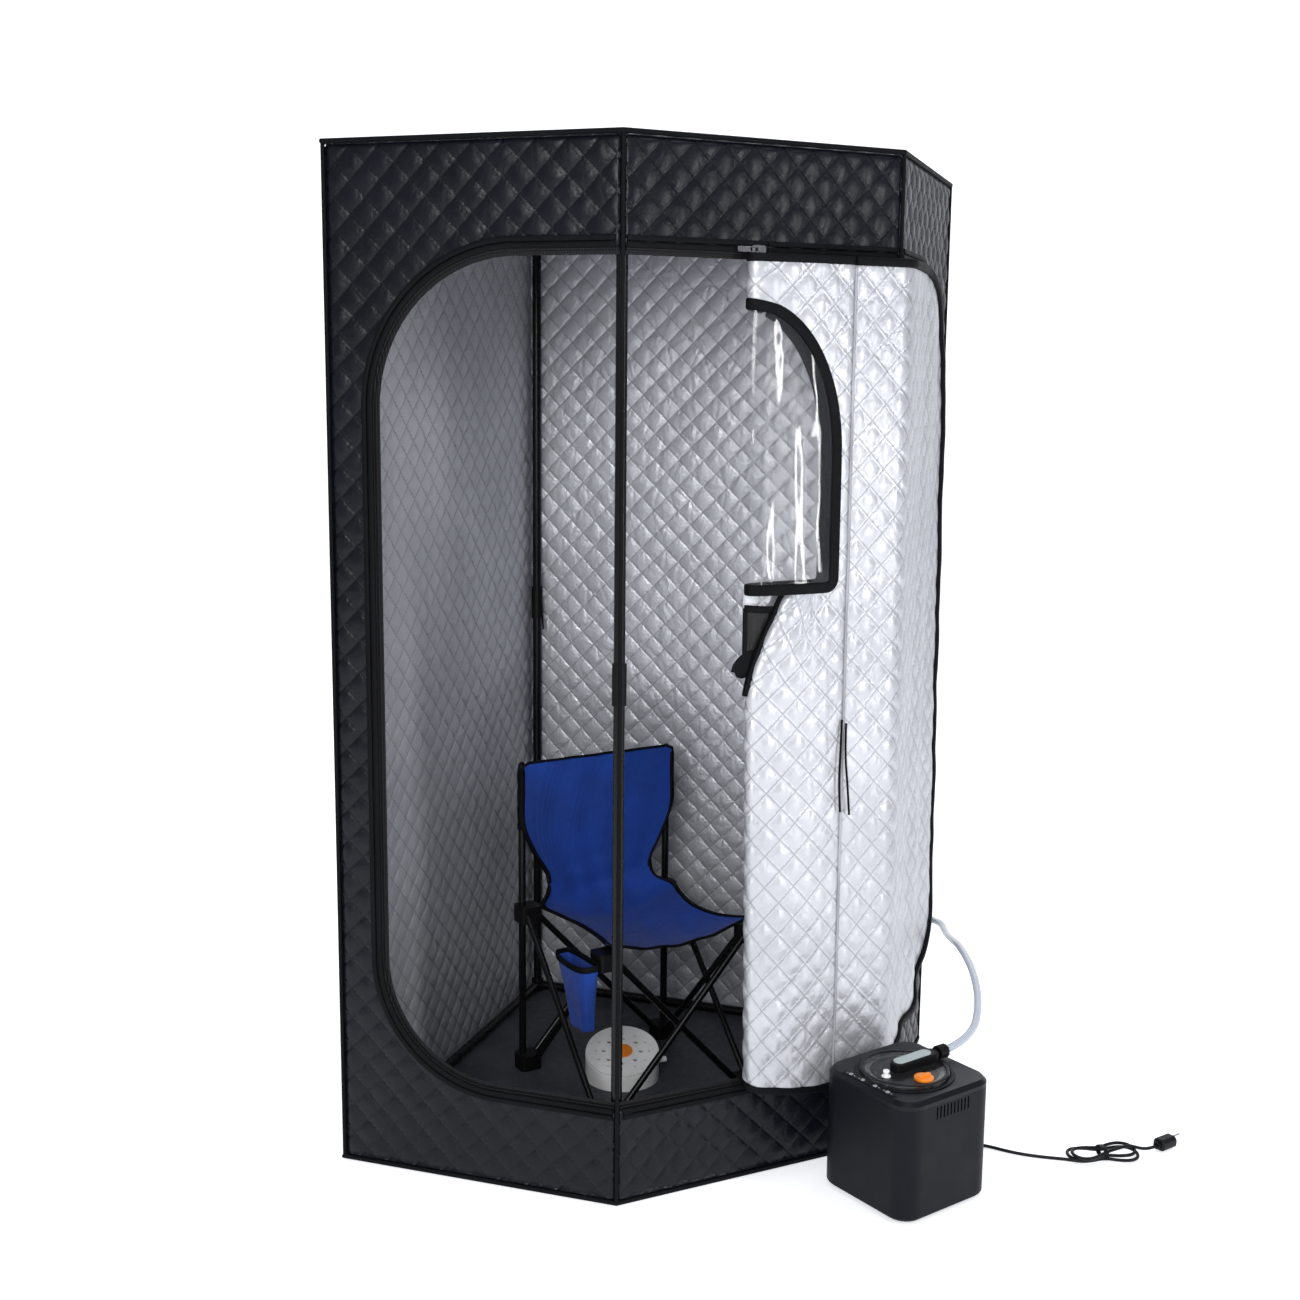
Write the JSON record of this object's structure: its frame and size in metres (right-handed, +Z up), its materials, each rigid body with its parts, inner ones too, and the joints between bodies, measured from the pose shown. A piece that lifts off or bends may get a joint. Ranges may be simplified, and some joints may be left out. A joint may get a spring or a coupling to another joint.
{
  "type": "portable steam sauna",
  "caption": "Five-sided quilted steam tent on a pole frame with a folded-back door, a steamer with hose and power cord, a steam outlet pot and a folding chair.",
  "frame": {"origin": "underside of the floor mat, below the middle of the tent on its plane of symmetry", "axes": "+Z up, the front wall faces -Y, the folded door and its steamer are towards +X"},
  "size_m": [1.4371, 1.2938, 1.8],
  "materials": {
    "quilt": "silver coated quilt, black outside",
    "black_fabric": "satin",
    "floor_cloth": "matte",
    "clear_window": "clear film",
    "mesh_cloth": "open mesh",
    "zip_black": "woven tape",
    "zip_metal": "satin",
    "black_plastic": "satin",
    "tie_cord": "woven",
    "black_tube": "satin powder coat",
    "steamer_plastic": "fine satin",
    "steel": "brushed",
    "smoke_lid": "smoky clear",
    "pale_cover": "satin",
    "white_plastic": "satin gloss",
    "orange_plastic": "satin",
    "button_grey": "satin",
    "hose_clear": "translucent",
    "cord_rubber": "matte",
    "brass": "plated",
    "blue_cloth": "woven polyester"
  },
  "bodies": {
    "tent": {"wall_left": "quilt", "wall_right": "quilt", "front_side_panels": "quilt", "door_header": "quilt", "door_sill": "quilt", "roof_panel": "black_fabric", "floor_mat": "floor_cloth", "edge_piping": "black_fabric", "door_fixed_inner": "quilt", "door_fixed_wing": "quilt", "door_fold_strip": "quilt", "window_pane_fixed": "clear_window", "window_binding_fixed": "black_fabric", "door_pocket": "mesh_cloth", "zip_tapes": "zip_black", "hose_grommet": "black_plastic", "post_tie": "tie_cord", "posts": "black_tube", "post_couplers": "black_plastic", "rails": "black_tube", "corner_connectors": "black_plastic", "steamer_housing": "steamer_plastic", "steamer_base": "steamer_plastic", "steamer_deck": "steamer_plastic", "inner_pot": "steel", "hose_nut": "black_plastic", "control_strip": "black_plastic", "steam_hose": "hose_clear", "power_cord": "cord_rubber", "power_cord_tail": "cord_rubber", "cord_hank": "cord_rubber", "plug": "cord_rubber", "plug_pins": "brass", "pot_body": "white_plastic", "chair_legs": "black_tube", "chair_uprights": "black_tube", "chair_feet": "black_plastic", "chair_brackets": "black_plastic", "chair_sling": "blue_cloth", "sling_sleeves": "blue_cloth", "chair_pocket": "blue_cloth"},
    "door_flap": {"door_flap_inner": "quilt", "door_skirt_inner": "quilt", "window_pane_flap": "clear_window", "window_binding_flap": "black_fabric", "door_ties": "tie_cord"},
    "door_wing": {"door_flap_wing": "quilt", "door_skirt_wing": "quilt"},
    "zip_slider": {"zip_slider": "zip_metal"},
    "zip_pull": {"zip_pull": "zip_metal"},
    "steamer_lid": {"steamer_lid": "smoke_lid", "lid_arm": "steamer_plastic", "arm_cover": "pale_cover"},
    "relief_valve": {"relief_valve": "white_plastic"},
    "fill_cap": {"fill_cap": "orange_plastic"},
    "button_1": {"panel_button_1": "button_grey"},
    "button_2": {"panel_button_2": "button_grey"},
    "button_3": {"panel_button_3": "button_grey"},
    "button_4": {"panel_button_4": "button_grey"},
    "pot_lid": {"pot_lid": "white_plastic"}
  },
  "joints": [
    {"name": "door_fold", "type": "hinge", "parent": "tent", "child": "door_flap", "pos_m": [0, -0.5196, 0], "axis": [0, 0, 1], "range_deg": [-180, 0], "deforming": ["door_fold_strip", "door_skirt_inner", "door_skirt_wing", "door_pocket"]},
    {"name": "door_corner", "type": "hinge", "parent": "door_flap", "child": "door_wing", "pos_m": [0.2636, -0.5346, 0], "axis": [0, 0, 1], "range_deg": [-90, 0]},
    {"name": "zip_travel", "type": "slide", "parent": "tent", "child": "zip_slider", "axis": [-1, 0, 0], "range_m": [0, 0.2]},
    {"name": "zip_pull_swing", "type": "hinge", "parent": "zip_slider", "child": "zip_pull", "pos_m": [-0.022, -0.5132, 1.624], "axis": [0, 0, 1], "range_deg": [0, 150]},
    {"name": "lid_lift", "type": "slide", "parent": "tent", "child": "steamer_lid", "axis": [0, 0, 1], "range_m": [0, 0.12]},
    {"name": "relief_valve_lift", "type": "slide", "parent": "steamer_lid", "child": "relief_valve", "axis": [0, 0, 1], "range_m": [0, 0.004]},
    {"name": "fill_cap_lift", "type": "slide", "parent": "steamer_lid", "child": "fill_cap", "axis": [0, 0, 1], "range_m": [0, 0.03]},
    {"name": "pot_lid_lift", "type": "slide", "parent": "tent", "child": "pot_lid", "axis": [-0.131, -0.2614, 0.9563], "range_m": [0, 0.05]},
    {"name": "button_1_press", "type": "slide", "parent": "tent", "child": "button_1", "axis": [0, 0, -1], "range_m": [0, 0.0008], "stiffness_N_per_m": 300},
    {"name": "button_2_press", "type": "slide", "parent": "tent", "child": "button_2", "axis": [0, 0, -1], "range_m": [0, 0.0008], "stiffness_N_per_m": 300},
    {"name": "button_3_press", "type": "slide", "parent": "tent", "child": "button_3", "axis": [0, 0, -1], "range_m": [0, 0.0008], "stiffness_N_per_m": 300},
    {"name": "button_4_press", "type": "slide", "parent": "tent", "child": "button_4", "axis": [0, 0, -1], "range_m": [0, 0.0008], "stiffness_N_per_m": 300}
  ],
  "couplings": [
    {"joint": "door_corner", "follows": "door_fold", "ratio": 0.5}
  ]
}
